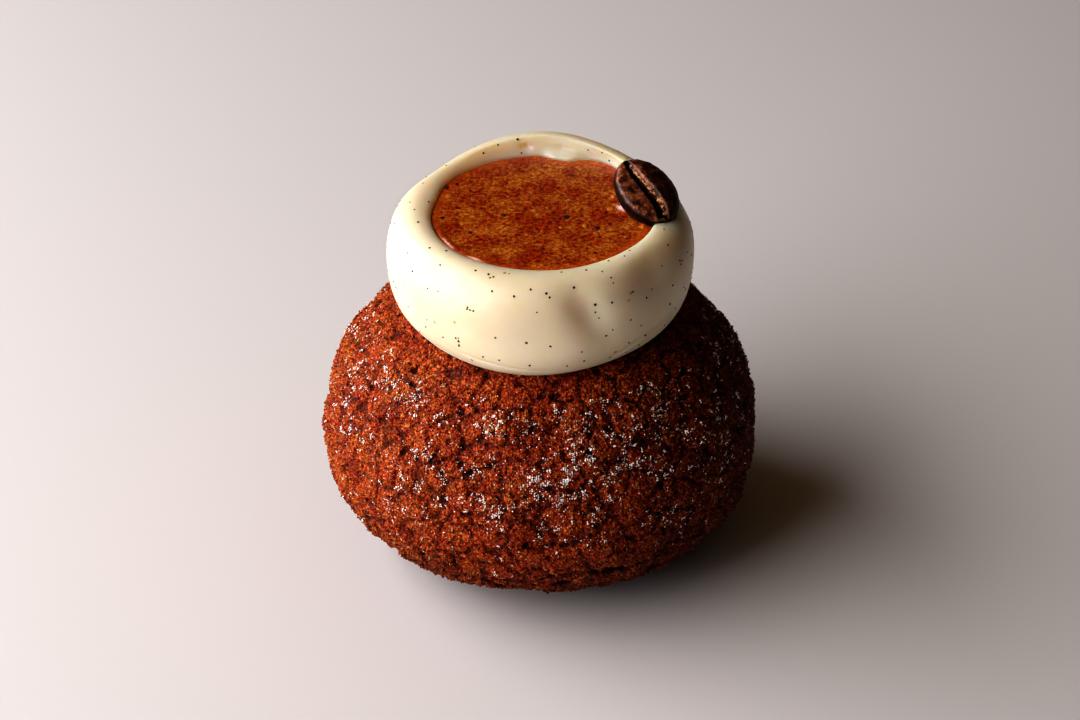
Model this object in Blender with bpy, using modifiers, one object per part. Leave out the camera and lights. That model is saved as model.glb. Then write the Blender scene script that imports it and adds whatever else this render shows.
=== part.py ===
"""A cream puff: a round choux bun with a crumbly craquelin crust, a thick disc of vanilla
cream on its crown, a pool of praline sauce in the cream's hollow, and a coffee bean.

Units are metres and +Z is up. The bun rests on its flat underside at the origin, and
-Y is the front. Angles round the puff are measured in degrees from +X towards +Y.
"""
import math

import bmesh
import bpy
from mathutils import Euler, Vector, noise

GAP = 0.0003                    # clearance between neighbouring solids

# Choux bun: two superellipse arcs that meet at the waist, cut off by the flat underside
BUN_RADIUS = 0.0340
BUN_WAIST = 0.0205              # height of the widest ring
BUN_CROWN = 0.0279              # rise of the crown above the waist
BUN_CROWN_POWER = 2.04
BUN_BELLY = 0.0217              # depth of the whole belly curve below the waist
BUN_BELLY_POWER = 2.3
BUN_SEGMENTS = 92
BUN_SIDE_ROWS = 34              # rows of faces from the underside up to the cream
BUN_CROWN_ROWS = 5              # rows of faces under the cream

# Relief of the crust
LUMP_SIZE = 0.0075
LUMP_RISE = 0.00036
CRACK_CELL = 0.0085             # spacing of the crust's fine cracks
CRACK_WIDTH = 0.30              # in parts of a cell
CRACK_DEPTH = 0.00045
SMOOTH_FOOT = 0.0022            # the crust is smooth below this height
SMOOTH_CROWN = 0.0415           # and above this height, where the cream lies
RELIEF_FADE = 0.0030

# Broad swells: angle, height, reach and rise
BUN_SWELLS = (
    (-154, 0.0085, 0.0090, 0.00070),
    (-26, 0.0085, 0.0090, 0.00080),
    (-90, 0.0035, 0.0090, -0.00040),
    (-118, 0.0250, 0.0110, 0.00035),
    (-62, 0.0170, 0.0120, 0.00030),
    (-5, 0.0190, 0.0100, 0.00035),
    (75, 0.0150, 0.0120, 0.00040),
    (120, 0.0220, 0.0110, 0.00030),
)
# Splits that run round the belly: middle angle, height, half span in degrees and depth
BELLY_SPLITS = (
    (-104, 0.0046, 15, 0.0008),
    (-76, 0.0072, 13, 0.0007),
    (-21, 0.0100, 9, 0.0009),
    (-152, 0.0080, 11, 0.0006),
    (35, 0.0062, 16, 0.0007),
    (105, 0.0085, 14, 0.0007),
    (160, 0.0050, 12, 0.0006),
)
SPLIT_HALF_HEIGHT = 0.0013

# Vanilla cream: a thick ring whose wall is an oval arc, with a hollow for the sauce
CREAM_RIDGE = 0.0184            # radius of the rim's ridge
CREAM_WALL = 0.0050             # how far the wall stands out from the ridge
CREAM_WAIST = 0.0520            # height of the widest ring
CREAM_TOP = 0.0585              # height of the rim at the front
CREAM_FOOT = 0.0095             # depth of the wall's lower arc
CREAM_FOOT_POWER = 2.5
CREAM_SEGMENTS = 80
RIM_RISES = ((88, 36, 0.0021),)         # where the rim stands higher: angle, half width and rise
FOOT_SPREADS = ((-98, 34, 0.0008),)  # where the foot has spread: angle, half width and spread

# Dents down the whole wall: angle, half width in degrees and depth
CREAM_DENTS = (
    (-128, 12, 0.00020),
    (30, 10, 0.00030),
    (140, 18, 0.00090),
    (176, 9, 0.00020),
)
# Dents high on the wall: angle, height, half width in degrees, half height, lean in degrees
# for each metre of height, and depth
HIGH_DENTS = (
    (-72, 0.0535, 6.5, 0.0045, -1150, 0.00060),
    (-41, 0.0555, 12, 0.0038, 0, 0.00080),
)
RIM_DIPS = ((8, 15, 0.00050),)  # where the rim dips under the bean: angle, half width and depth

# Praline pool, which fills the hollow up to its level
POOL_CENTRE = Vector((0.0005, 0.0004, 0.0))
POOL_LEVEL = 0.0575
HOLLOW_RADIUS = 0.0170
HOLLOW_DEPTH = 0.0045
HOLLOW_POWER = 2.6
POOL_GAP = 0.0004               # between the pool and the cream, whose edge runs aslant in places

# How the hollow's edge leaves the round: angle, half width in degrees and shift outwards
HOLLOW_SHIFTS = (
    (57, 9, 0.0006),
    (-50, 22, -0.0004),
    (-140, 24, 0.0005),
    (168, 12, -0.0004),
)
# A low fold of cream that laps into the pool at the back, with the wall set back above it
LAP_SHIFTS = (
    (76, 4.0, -0.0015),
    (83.5, 4.2, -0.0012),
)
LAP_FULL = 0.0004               # the fold's heights above the pool where it is full
LAP_END = 0.0011                # and where it ends

# Coffee bean, half sunk across the rim and the pool's edge
BEAN_LENGTH = 0.0122
BEAN_WIDTH = 0.0094
BEAN_BACK = 0.0033              # depth of the round back below its widest outline
BEAN_FACE = 0.0017              # rise of the flat face above the widest outline
BEAN_CENTRE = Vector((0.0161, 0.0010, 0.0606))
BEAN_ROLL = -2
BEAN_DIP = 26                   # how steeply the long axis runs down
BEAN_HEADING = -57              # where the lower end points
BEAN_SEGMENTS = 34
BEAN_RINGS = 16
CREASE_DEPTH = 0.0014
CREASE_WIDTH = 0.0011           # half of the crease's width at its mouth
CREASE_BEND = 0.00035           # how far the crease swings to each side
CREASE_OFFSET = 0.00035         # how far it lies off the middle

# Colours (linear) and roughness
CRUST_COLOR = (0.235, 0.085, 0.032)
CREAM_COLOR = (0.860, 0.760, 0.560)
PRALINE_COLOR = (0.170, 0.034, 0.006)
BEAN_COLOR = (0.052, 0.017, 0.009)


def clear_scene():
    for obj in list(bpy.data.objects):
        bpy.data.objects.remove(obj, do_unlink=True)


def make_material(name, color, roughness):
    material = bpy.data.materials.new(name)
    material.use_nodes = True
    shader = material.node_tree.nodes["Principled BSDF"]
    shader.inputs["Base Color"].default_value = (*color, 1.0)
    shader.inputs["Roughness"].default_value = roughness
    shader.inputs["Metallic"].default_value = 0.0
    return material


def smooth_step(low, high, value):
    """Rise smoothly from 0 at low to 1 at high."""
    t = min(max((value - low) / (high - low), 0.0), 1.0)
    return t * t * (3.0 - 2.0 * t)


def turn_between(angle, middle):
    """The smaller turn between two angles in degrees."""
    return abs((angle - middle + 180.0) % 360.0 - 180.0)


def sum_of_bumps(angle, bumps):
    """Add up bell-shaped bumps, each an angle, a half width and a height."""
    return sum(size * math.exp(-(turn_between(angle, middle) / width) ** 2)
               for middle, width, size in bumps)


def polar(point):
    """Radius and angle in degrees of a point seen from above."""
    return math.hypot(point.x, point.y), math.degrees(math.atan2(point.y, point.x))


def superellipse(width, height, power, turn):
    """A point on a quarter superellipse, from its side at turn 0 to its top at 90."""
    across = max(math.cos(math.radians(turn)), 0.0)
    along = max(math.sin(math.radians(turn)), 0.0)
    return width * across ** (2.0 / power), height * along ** (2.0 / power)


def resample(points, rows):
    """Points spaced evenly along a polyline, ends included."""
    lengths = [math.dist(a, b) for a, b in zip(points, points[1:])]
    step = sum(lengths) / rows
    spaced = [points[0]]
    walked = 0.0
    for (start, end, length) in zip(points, points[1:], lengths):
        while len(spaced) < rows and walked + length >= step * len(spaced):
            part = (step * len(spaced) - walked) / length
            spaced.append((start[0] + (end[0] - start[0]) * part,
                           start[1] + (end[1] - start[1]) * part))
        walked += length
    spaced.append(points[-1])
    return spaced


def turned_object(name, profile, segments, material, collection):
    """Turn a profile of (radius, height) points, top to bottom, round the Z axis."""
    mesh = bpy.data.meshes.new(name)
    edges = [(i, i + 1) for i in range(len(profile) - 1)]
    mesh.from_pydata([(radius, 0.0, height) for radius, height in profile], edges, [])
    obj = bpy.data.objects.new(name, mesh)
    collection.objects.link(obj)
    screw = obj.modifiers.new("Turn", 'SCREW')
    screw.axis = 'Z'
    screw.angle = math.tau
    screw.steps = segments
    screw.render_steps = segments
    screw.use_merge_vertices = True
    screw.merge_threshold = 0.00001
    apply_modifiers(obj)
    finish_mesh(obj, material)
    return obj


def apply_modifiers(obj):
    graph = bpy.context.evaluated_depsgraph_get()
    shaped = bpy.data.meshes.new_from_object(obj.evaluated_get(graph))
    obj.modifiers.clear()
    obj.data = shaped
    shaped.name = obj.name


def finish_mesh(obj, material):
    """Give a mesh its one material and smooth shading."""
    obj.data.materials.clear()
    obj.data.materials.append(material)
    obj.data.shade_smooth()


def reshape(obj, rule):
    """Move every vertex to where the rule puts it."""
    for vertex in obj.data.vertices:
        vertex.co = rule(vertex.co)
    obj.data.update()


def bun_radius_at_turn(turn):
    """Outline point of the bun: turn 90 is the crown, 0 the waist, below 0 the belly."""
    if turn >= 0:
        radius, rise = superellipse(BUN_RADIUS, BUN_CROWN, BUN_CROWN_POWER, turn)
        return radius, BUN_WAIST + rise
    radius, drop = superellipse(BUN_RADIUS, BUN_BELLY, BUN_BELLY_POWER, -turn)
    return radius, BUN_WAIST - drop


def dome_height(radius):
    """Height of the bun's crown at a distance from the middle."""
    part = 1.0 - (radius / BUN_RADIUS) ** BUN_CROWN_POWER
    return BUN_WAIST + BUN_CROWN * part ** (1.0 / BUN_CROWN_POWER)


def bun_profile():
    """The bun's outline from the crown down to the middle of its flat underside."""
    outline = [bun_radius_at_turn(90.0 - 0.25 * i) for i in range(721)]
    outline = [point for point in outline if point[1] > 0.0]
    last_radius = outline[-1][0]
    outline.append((last_radius, 0.0))
    under_cream = [point for point in outline if point[0] < CREAM_RIDGE and point[1] > BUN_WAIST]
    bare = outline[len(under_cream) - 1:]
    crown = resample(under_cream, BUN_CROWN_ROWS)
    side = resample(bare, BUN_SIDE_ROWS)
    return crown + side[1:] + [(0.0, 0.0)]


def crust_relief(point):
    """How far the crust stands out at a point: low lumps, and fine cracks between them."""
    lump = noise.noise(point / LUMP_SIZE) * LUMP_RISE * 2.0
    nearest, second = noise.voronoi(point / CRACK_CELL)[0][:2]
    crack = 1.0 - min((second - nearest) / CRACK_WIDTH, 1.0)
    return lump - crack * CRACK_DEPTH


def swell_relief(point):
    """The broad swells that keep the bun from being quite round."""
    total = 0.0
    for angle, height, reach, rise in BUN_SWELLS:
        turn = math.radians(angle)
        middle = Vector((BUN_RADIUS * math.cos(turn), BUN_RADIUS * math.sin(turn), height))
        total += rise * math.exp(-((point - middle).length / reach) ** 2)
    return total


def split_relief(point):
    """The depth of the splits that run round the belly."""
    angle = polar(point)[1]
    total = 0.0
    for middle, height, span, depth in BELLY_SPLITS:
        along = math.exp(-(turn_between(angle, middle) / span) ** 4)
        across = math.exp(-((point.z - height) / SPLIT_HALF_HEIGHT) ** 2)
        total += depth * along * across
    return total


def shape_crust(point):
    """Move a point of the smooth bun out to the crust's surface."""
    mask = smooth_step(SMOOTH_FOOT - RELIEF_FADE / 2, SMOOTH_FOOT + RELIEF_FADE / 2, point.z)
    mask *= 1.0 - smooth_step(SMOOTH_CROWN - RELIEF_FADE, SMOOTH_CROWN, point.z)
    outward = Vector((point.x, point.y, (point.z - BUN_WAIST) * BUN_RADIUS / BUN_CROWN))
    outward.normalize()
    relief = crust_relief(point) + swell_relief(point) - split_relief(point)
    return point + outward * relief * mask


def make_bun(collection):
    crust = make_material("choux_bun", CRUST_COLOR, 0.75)
    bun = turned_object("choux_bun", bun_profile(), BUN_SEGMENTS, crust, collection)
    reshape(bun, shape_crust)
    return bun


def hollow_profile(clearance):
    """The hollow's bowl from its middle up to its edge, drawn in by a clearance."""
    radius = HOLLOW_RADIUS - clearance
    depth = HOLLOW_DEPTH - clearance
    points = []
    for turn in (90, 68, 48, 33, 20, 9, 0):
        across, drop = superellipse(radius, depth, HOLLOW_POWER, turn)
        points.append((across, POOL_LEVEL - drop))
    return points


def rim_profile():
    """From the hollow's edge over the rim, down the wall to the cream's foot."""
    lip_width = CREAM_RIDGE - HOLLOW_RADIUS
    points = []
    for turn in (30, 60, 90):
        across, rise = superellipse(lip_width, CREAM_TOP - POOL_LEVEL, 2.0, turn)
        points.append((CREAM_RIDGE - across, POOL_LEVEL + rise))
    for turn in (72, 54, 36, 18, 0):
        across, rise = superellipse(CREAM_WALL, CREAM_TOP - CREAM_WAIST, 2.0, turn)
        points.append((CREAM_RIDGE + across, CREAM_WAIST + rise))
    for turn in (16, 30, 43, 55, 64):
        across, drop = superellipse(CREAM_WALL, CREAM_FOOT, CREAM_FOOT_POWER, turn)
        points.append((CREAM_RIDGE + across, CREAM_WAIST - drop))
    return points


def cream_profile():
    """The whole section of the cream, from the hollow's middle round to its underside."""
    foot_radius = CREAM_RIDGE + CREAM_WALL * 0.50
    underside = [(foot_radius * part, dome_height(foot_radius * part) + GAP)
                 for part in (1.0, 0.82, 0.60, 0.32, 0.0)]
    return hollow_profile(0.0) + rim_profile() + underside


def hollow_shift(angle, height):
    """How far the hollow's edge moves outwards at an angle and a height."""
    lapping = 1.0 - smooth_step(POOL_LEVEL + LAP_FULL, POOL_LEVEL + LAP_END, height)
    return sum_of_bumps(angle, HOLLOW_SHIFTS) + sum_of_bumps(angle, LAP_SHIFTS) * lapping


def shape_hollow(point):
    """Move a point of the round hollow, or of the pool in it, to the hollow's own place."""
    radius, angle = polar(point)
    inside = min(radius / HOLLOW_RADIUS, 1.0)
    beyond = 1.0 - smooth_step(HOLLOW_RADIUS, CREAM_RIDGE, radius)
    shift = hollow_shift(angle, point.z) * inside * beyond
    outward = Vector((math.cos(math.radians(angle)), math.sin(math.radians(angle)), 0.0))
    return point + outward * shift + POOL_CENTRE * beyond


def spread_foot(point):
    """Let the cream's foot run a little way down the bun's crown."""
    radius, angle = polar(point)
    low = 1.0 - smooth_step(CREAM_WAIST - CREAM_FOOT, CREAM_WAIST, point.z)
    near_foot = smooth_step(0.7 * CREAM_RIDGE, CREAM_RIDGE, radius)
    spread = sum_of_bumps(angle, FOOT_SPREADS) * low * near_foot
    drop = dome_height(radius) - dome_height(radius + spread)
    outward = Vector((math.cos(math.radians(angle)), math.sin(math.radians(angle)), 0.0))
    return point + outward * spread - Vector((0.0, 0.0, drop))


def dent_depth(angle, height):
    """How deep the wall is pressed in at an angle and a height."""
    total = sum_of_bumps(angle, CREAM_DENTS)
    for middle, level, width, half_height, lean, depth in HIGH_DENTS:
        across = turn_between(angle, middle + lean * (height - level)) / width
        total += depth * math.exp(-across ** 2 - ((height - level) / half_height) ** 2)
    return total


def shape_cream(point):
    """Raise the rim at the back, dent the wall, spread the foot and shift the hollow."""
    radius, angle = polar(point)
    if point.z < POOL_LEVEL - HOLLOW_DEPTH - GAP and radius < CREAM_RIDGE + 0.6 * CREAM_WALL:
        return spread_foot(point)
    on_ridge = smooth_step(HOLLOW_RADIUS, CREAM_RIDGE, radius)
    high = smooth_step(CREAM_WAIST, CREAM_TOP, point.z)
    lift = (sum_of_bumps(angle, RIM_RISES) - sum_of_bumps(angle, RIM_DIPS)) * on_ridge * high
    outside = smooth_step(CREAM_RIDGE, CREAM_RIDGE + 0.6 * CREAM_WALL, radius)
    dent = dent_depth(angle, point.z) * outside
    outward = Vector((math.cos(math.radians(angle)), math.sin(math.radians(angle)), 0.0))
    moved = shape_hollow(point) if radius < CREAM_RIDGE else spread_foot(point)
    return moved + Vector((0.0, 0.0, lift)) - outward * dent


def cut_for_bean(obj, cutter):
    """Leave room for the sunk bean."""
    cut = obj.modifiers.new("Bean seat", 'BOOLEAN')
    cut.operation = 'DIFFERENCE'
    cut.object = cutter


def make_cream(collection, bean_seat):
    ivory = make_material("vanilla_cream", CREAM_COLOR, 0.35)
    cream = turned_object("vanilla_cream", cream_profile(), CREAM_SEGMENTS, ivory, collection)
    reshape(cream, shape_cream)
    cut_for_bean(cream, bean_seat)
    return cream


def make_pool(collection, bean_seat):
    sauce = make_material("praline_pool", PRALINE_COLOR, 0.12)
    bowl = hollow_profile(POOL_GAP)
    level = [(0.0, POOL_LEVEL), (0.36 * HOLLOW_RADIUS, POOL_LEVEL), (0.72 * HOLLOW_RADIUS, POOL_LEVEL)]
    profile = level + bowl[::-1]
    pool = turned_object("praline_pool", profile, CREAM_SEGMENTS, sauce, collection)
    reshape(pool, shape_hollow)
    cut_for_bean(pool, bean_seat)
    return pool


def shape_bean(point, clearance):
    """Turn a point of a unit sphere into the bean: oval, flat on one face, round behind."""
    half_length = BEAN_LENGTH / 2 + clearance
    half_width = BEAN_WIDTH / 2 + clearance
    depth = (BEAN_FACE if point.z > 0.0 else BEAN_BACK) + clearance
    height = point.z
    if height > 0.0:
        height = math.sin(math.radians(90.0) * height) ** 0.75
    return Vector((point.x * half_length, point.y * half_width, height * depth))


def press_crease(point):
    """Press the crease into the bean's flat face, along a line with a slight S."""
    if point.z <= 0.0:
        return point
    along = point.x / (BEAN_LENGTH / 2)
    line = CREASE_BEND * math.sin(math.pi * along) - CREASE_OFFSET
    across = abs(point.y - line) / CREASE_WIDTH
    ends = 1.0 - smooth_step(0.80, 1.0, abs(along))
    depth = CREASE_DEPTH * math.exp(-across ** 2 * 1.6) * ends
    return point - Vector((0.0, 0.0, depth))


def bean_object(name, clearance, collection, material=None):
    mesh = bpy.data.meshes.new(name)
    sphere = bmesh.new()
    bmesh.ops.create_uvsphere(sphere, u_segments=BEAN_SEGMENTS, v_segments=BEAN_RINGS, radius=1.0)
    sphere.to_mesh(mesh)
    sphere.free()
    bean = bpy.data.objects.new(name, mesh)
    collection.objects.link(bean)
    reshape(bean, lambda point: shape_bean(Vector((point.z, point.x, point.y)), clearance))
    bean.location = BEAN_CENTRE
    bean.rotation_euler = Euler([math.radians(a) for a in (BEAN_ROLL, BEAN_DIP, BEAN_HEADING)])
    if material:
        finish_mesh(bean, material)
    return bean


def make_bean(collection):
    roast = make_material("coffee_bean", BEAN_COLOR, 0.35)
    bean = bean_object("coffee_bean", 0.0, collection, roast)
    reshape(bean, press_crease)
    return bean


def make_bean_seat(collection):
    """The cutter that leaves room for the bean in the cream and in the pool."""
    seat = bean_object("bean_seat", GAP, collection)
    seat.hide_render = True
    seat.display_type = 'WIRE'
    return seat


def new_collection(name):
    collection = bpy.data.collections.new(name)
    bpy.context.scene.collection.children.link(collection)
    return collection


def main():
    clear_scene()
    parts = new_collection("cream_puff")
    cutters = new_collection("cutters")
    bean_seat = make_bean_seat(cutters)
    make_bun(parts)
    make_cream(parts, bean_seat)
    make_pool(parts, bean_seat)
    make_bean(parts)


main()
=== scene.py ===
"""The cream puff's looks: a craquelin crust with its crumbs and powdered sugar, a ring of vanilla
cream with seeds, a pool of praline and a roasted coffee bean, on a plain pale floor.

Units are metres. -Y is the front; angles are degrees from +X towards +Y, seen from above.
"""
import math

import bpy
import numpy as np
from mathutils import Euler, Matrix, Vector, kdtree, noise


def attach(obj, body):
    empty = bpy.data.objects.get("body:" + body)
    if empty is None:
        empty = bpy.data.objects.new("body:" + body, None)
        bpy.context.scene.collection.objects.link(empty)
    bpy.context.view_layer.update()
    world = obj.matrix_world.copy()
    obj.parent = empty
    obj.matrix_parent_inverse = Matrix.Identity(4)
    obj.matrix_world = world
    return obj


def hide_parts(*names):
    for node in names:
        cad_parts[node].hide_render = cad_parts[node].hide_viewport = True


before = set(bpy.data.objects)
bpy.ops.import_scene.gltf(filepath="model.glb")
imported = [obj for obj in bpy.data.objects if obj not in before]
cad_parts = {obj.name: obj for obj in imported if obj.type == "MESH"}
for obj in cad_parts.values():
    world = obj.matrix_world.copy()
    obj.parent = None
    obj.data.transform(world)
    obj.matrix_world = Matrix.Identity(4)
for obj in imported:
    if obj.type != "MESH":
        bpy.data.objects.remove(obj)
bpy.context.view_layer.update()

MM = 0.001

# The bun's crown, as the solid has it
BUN_RADIUS = 34.0 * MM
BUN_WAIST = 20.5 * MM
BUN_CROWN = 27.9 * MM
BUN_CROWN_POWER = 2.04

# The crust and its crumbs
CRUST_VOXEL = 0.33 * MM
CRUST_KEPT = 0.58               # the share of its faces that is kept at the end
CRUST_FOOT = 1.2 * MM           # the crust is flat below this height
CRUST_CROWN = 44.5 * MM         # and smooth above this one, under the cream
WRINKLE_DEPTH = 0.85 * MM       # of the fine level splits low on its side
WRINKLE_SPACING = 2.9 * MM
WRINKLES_START = (1.5 * MM, 4.0 * MM)
WRINKLES_END = (12.0 * MM, 18.0 * MM)
CRUMB_COUNT = 24500
CRUMB_LOWEST = 1.5 * MM
HIDDEN_HEIGHT = 43.0 * MM       # the cream hides the crown above this height, within this radius
HIDDEN_RADIUS = 20.5 * MM

# The powdered sugar: one head in every few starts a heap or a row of grains
SUGAR_HEADS = 3200
HEAP_EVERY = 16
ROW_EVERY = 4
HEAP_SPREAD = 0.19 * MM
SUGAR_DRIFT = 9.0 * MM                  # the size of its drifts, and of the patches in them
SUGAR_PATCH = 2.6 * MM
SUGAR_FADE = (10 * MM, 32 * MM)         # it thins out down the side, between these heights
SUGAR_FACING = -83                      # most of it lies at this angle, and less round the back
SUGAR_CLEAR = (24.5 * MM, 30 * MM)      # none lies within this radius above this height

# The cream's section
CREAM_RIDGE = 18.4 * MM
CREAM_WALL = 5.0 * MM
CREAM_WAIST = 52.0 * MM
CREAM_TOP = 58.5 * MM
CREAM_FOOT = 9.5 * MM
CREAM_FOOT_POWER = 2.5
CREAM_SINK = 0.6 * MM           # how far the cream's foot reaches into the crust's crumb
CREAM_STEPS = 288
# Bumps round the ring: an angle, a half width and a size
RIM_RISES = ((88, 36, 2.1 * MM),)
FOOT_SPREADS = ((-98, 34, 0.8 * MM),)
CREAM_DENTS = (
    (-128, 12, 0.20 * MM),
    (30, 10, 0.30 * MM),
    (140, 18, 0.90 * MM),
    (176, 9, 0.20 * MM),
)
RIM_DIPS = (
    (8, 15, 0.50 * MM),
)
# Dents and swells high on the wall: angle, height, half width, half height, lean in degrees for
# each millimetre of height, and depth
HIGH_DENTS = (
    (-72, 53.5 * MM, 7.0, 4.2 * MM, -1.15, 1.10 * MM),
    (-41, 55.5 * MM, 12, 3.8 * MM, 0.0, 1.10 * MM),
    (-76, 48.0 * MM, 9, 2.2 * MM, 0.0, -0.30 * MM),
    (-92, 52.0 * MM, 8, 3.0 * MM, 0.0, 0.15 * MM),
)
# Fine creases along the foot: an angle, a height there, a half width, a rise for each degree
# and a depth
FOOT_CREASES = (
    (-46, 46.5 * MM, 18, 0.11 * MM, 0.30 * MM),
    (-43, 47.4 * MM, 13, 0.12 * MM, 0.22 * MM),
    (-106, 45.3 * MM, 15, -0.03 * MM, 0.22 * MM),
)
CREASE_HALF_HEIGHT = 0.22 * MM
# Folds of the rim's inner wall: an angle, a height, their half sizes and a push outwards
WALL_FOLDS = (
    (98, 58.8 * MM, 2.4, 0.45 * MM, 0.60 * MM),
    (94, 58.2 * MM, 3.5, 0.60 * MM, -0.12 * MM),
    (80, 58.70 * MM, 6.5, 0.45 * MM, 0.40 * MM),
    (118, 59.0 * MM, 12.0, 0.90 * MM, 0.25 * MM),
)

# Vanilla seeds, or little groups of them, lie this far apart on the cream that shows
SEED_HEADS = 180
SEED_SPACING = 2.3 * MM
SEED_LOWEST = 44.5 * MM
SEED_INNERMOST = 17.6 * MM

# The hollow and the praline in it
POOL_CENTRE = Vector((0.5 * MM, 0.4 * MM, 0.0))
POOL_LEVEL = 57.5 * MM
HOLLOW_RADIUS = 17.0 * MM
HOLLOW_DEPTH = 4.5 * MM
HOLLOW_POWER = 2.6
HOLLOW_SHIFTS = (
    (57, 9, 0.6 * MM),
    (-50, 22, -0.4 * MM),
    (-140, 24, 0.5 * MM),
    (168, 12, -0.4 * MM),
)
# A low fold of cream that laps into the pool at the back
LAP_SHIFTS = (
    (75.5, 6.0, -1.15 * MM),
    (84.0, 5.5, -0.85 * MM),
)
LAP_FULL = 0.2 * MM
LAP_END = 1.2 * MM

# The ground nuts in the praline
NUT_MEAL = 620
NUT_SKINS = 9                   # larger dark flakes of skin
NUT_KERNELS = 14                # larger pale bits of kernel
# Where the praline is heaped against the bean: x, y, width and rise
POOL_HEAPS = (
    (12.7 * MM, 1.3 * MM, 0.85 * MM, 1.05 * MM),
    (11.8 * MM, 1.9 * MM, 0.40 * MM, 0.45 * MM),
    (13.2 * MM, 0.5 * MM, 0.45 * MM, 0.55 * MM),
    (11.4 * MM, 4.7 * MM, 0.50 * MM, 0.60 * MM),
    (15.7 * MM, -3.4 * MM, 0.50 * MM, 0.70 * MM),
)
# Where its edge stands up in a wet bead: an angle, a half width and a rise
POOL_BEADS = (
    (-149, 12, 0.40 * MM),
    (-125, 8, 0.42 * MM),
    (-107, 5, 0.30 * MM),
)

# The coffee bean
BEAN_LENGTH = 12.2 * MM
BEAN_WIDTH = 9.4 * MM
BEAN_BACK = 3.3 * MM
BEAN_FACE = 1.7 * MM
BEAN_CENTRE = Vector((16.1 * MM, 1.0 * MM, 60.6 * MM))
BEAN_TURN = Euler([math.radians(a) for a in (-2, 26, -57)])
GROOVE_OFFSET = 0.45 * MM
GROOVE_WIDTH = 0.85 * MM
GROOVE_DEPTH = 1.75 * MM
# Strips of silverskin: where each starts and ends along the crease, in half lengths
CHAFF_STRIPS = ((-0.82, -0.42), (-0.46, -0.05), (-0.12, 0.30), (0.26, 0.55), (0.52, 0.84))

# The camera looks down on the puff from the front
CAMERA_DISTANCE = 520 * MM
CAMERA_ELEVATION = 34
CAMERA_AIM = Vector((0.0, 0.4 * MM, 30.6 * MM))
CAMERA_LENS = 111.5
SENSOR_WIDTH = 36

FLOOR_SIZE = 6.0


# ---- small helpers ---------------------------------------------------------------------

def smooth_step(low, high, value):
    t = min(max((value - low) / (high - low), 0.0), 1.0)
    return t * t * (3.0 - 2.0 * t)


def turn_between(angle, middle):
    return abs((angle - middle + 180.0) % 360.0 - 180.0)


def sum_of_bumps(angle, bumps):
    """Add up bell-shaped bumps, each an angle, a half width and a height."""
    return sum(size * math.exp(-(turn_between(angle, middle) / width) ** 2)
               for middle, width, size in bumps)


def polar(point):
    return math.hypot(point.x, point.y), math.degrees(math.atan2(point.y, point.x))


def outward_at(angle):
    return Vector((math.cos(math.radians(angle)), math.sin(math.radians(angle)), 0.0))


def superellipse(width, height, power, turn):
    """A point on a quarter superellipse, from its side at turn 0 to its top at 90."""
    across = max(math.cos(math.radians(turn)), 0.0)
    along = max(math.sin(math.radians(turn)), 0.0)
    return width * across ** (2.0 / power), height * along ** (2.0 / power)


def dome_height(radius):
    """Height of the bun's smooth crown at a distance from the middle."""
    part = max(1.0 - (radius / BUN_RADIUS) ** BUN_CROWN_POWER, 0.0)
    return BUN_WAIST + BUN_CROWN * part ** (1.0 / BUN_CROWN_POWER)


def deselect_all():
    if bpy.context.mode != 'OBJECT':
        bpy.ops.object.mode_set(mode='OBJECT')
    bpy.ops.object.select_all(action='DESELECT')


def work_on(obj):
    """Make one object the only selected and the active one."""
    deselect_all()
    obj.select_set(True)
    bpy.context.view_layer.objects.active = obj


def modify(obj, kind, **settings):
    """Add a modifier and apply it."""
    work_on(obj)
    modifier = obj.modifiers.new(kind.title(), kind)
    for name, value in settings.items():
        setattr(modifier, name, value)
    bpy.ops.object.modifier_apply(modifier=modifier.name)


def linear(hex_colour):
    """Turn an sRGB hex colour into linear red, green, blue and alpha."""
    channels = [int(hex_colour[i:i + 2], 16) / 255 for i in (1, 3, 5)]
    return [c / 12.92 if c <= 0.04045 else ((c + 0.055) / 1.055) ** 2.4 for c in channels] + [1.0]


def add_node(material, kind, values=None, links=None, **settings):
    """Add a shader node: its properties, its sockets' values, and the sockets that feed it."""
    node = material.node_tree.nodes.new(kind)
    for name, value in settings.items():
        setattr(node, name, value)
    for socket, value in (values or {}).items():
        node.inputs[socket].default_value = value
    for socket, source in (links or {}).items():
        material.node_tree.links.new(source, node.inputs[socket])
    return node


def set_stops(ramp_node, stops):
    """Set a colour ramp's stops, each a place and an sRGB hex colour."""
    ramp = ramp_node.color_ramp
    while len(ramp.elements) < len(stops):
        ramp.elements.new(0.5)
    for element, (place, colour) in zip(ramp.elements, stops):
        element.position = place
        element.color = linear(colour)
    return ramp_node


def new_material(name, **shader_values):
    """A material with its Principled shader ready for links."""
    material = bpy.data.materials.new(name)
    material.use_nodes = True
    shader = material.node_tree.nodes["Principled BSDF"]
    for socket, value in shader_values.items():
        shader.inputs[socket.replace("_", " ")].default_value = value
    return material, shader


def dress(obj, material, node_name=None):
    """Give a finished piece its material and its body, and hide the imported node that it stands for."""
    obj.data.materials.clear()
    obj.data.materials.append(material)
    if node_name:
        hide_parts(node_name)
    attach(obj, "root")


def copy_of_node(node_name, piece_name):
    """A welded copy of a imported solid's mesh."""
    obj = bpy.data.objects.new(piece_name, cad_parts[node_name].data.copy())
    obj.data.name = piece_name
    bpy.context.scene.collection.objects.link(obj)
    work_on(obj)
    bpy.ops.object.mode_set(mode='EDIT')
    bpy.ops.mesh.select_all(action='SELECT')
    bpy.ops.mesh.remove_doubles(threshold=0.00001)
    bpy.ops.object.mode_set(mode='OBJECT')
    return obj


def vertex_places(obj):
    places = np.empty(len(obj.data.vertices) * 3, dtype=np.float32)
    obj.data.vertices.foreach_get("co", places)
    return places.reshape(-1, 3)


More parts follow.
